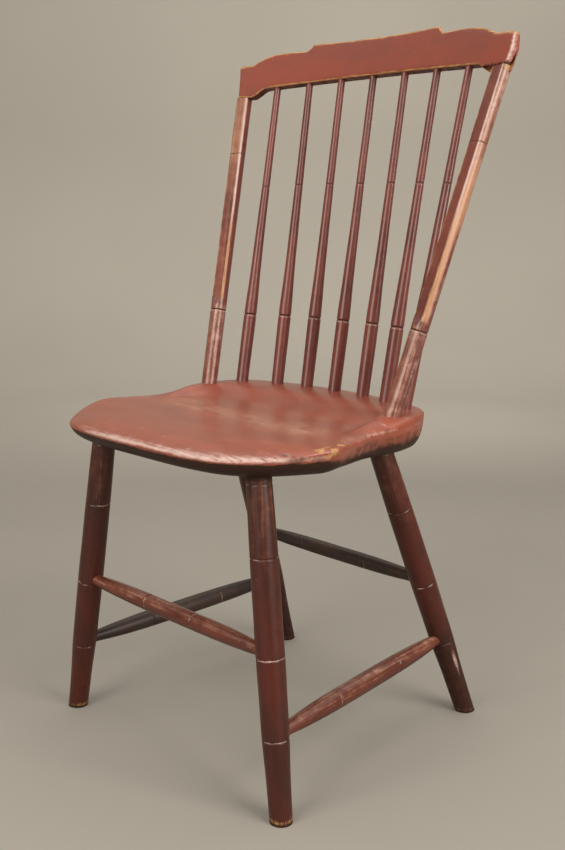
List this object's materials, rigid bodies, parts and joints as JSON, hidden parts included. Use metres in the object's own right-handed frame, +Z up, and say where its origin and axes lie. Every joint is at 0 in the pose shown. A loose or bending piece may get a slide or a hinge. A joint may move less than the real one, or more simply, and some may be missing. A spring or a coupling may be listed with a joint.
{
  "type": "side chair",
  "caption": "Wooden side chair with a dished plank seat, splayed turned legs joined by stretchers, a spindle back and a stepped crest rail.",
  "frame": {"origin": "middle of the footprint box at floor level", "axes": "+Z up, -Y the way the chair faces, +X the sitter's left"},
  "size_m": [0.4736, 0.437, 0.8872],
  "materials": {
    "seat": "old red paint rubbed to a satin sheen, worn pale along the front edge",
    "crest": "old red paint with ochre wear along the edges",
    "back": "old red paint with a satin sheen, worn to ochre in streaks",
    "undercarriage": "dark old red paint, rubbed on the scored rings",
    "pin": "bare darkened wood"
  },
  "bodies": {
    "root": {"seat": "seat", "crest_rail": "crest", "leg_front_left": "undercarriage", "leg_front_right": "undercarriage", "leg_rear_left": "undercarriage", "leg_rear_right": "undercarriage", "stretcher_front": "undercarriage", "stretcher_rear": "undercarriage", "stretcher_left": "undercarriage", "stretcher_right": "undercarriage", "post_left": "back", "crest_pin_left": "pin", "post_right": "back", "crest_pin_right": "pin", "spindle_1": "back", "spindle_2": "back", "spindle_3": "back", "spindle_4": "back", "spindle_5": "back", "spindle_6": "back", "spindle_7": "back"}
  },
  "joints": []
}
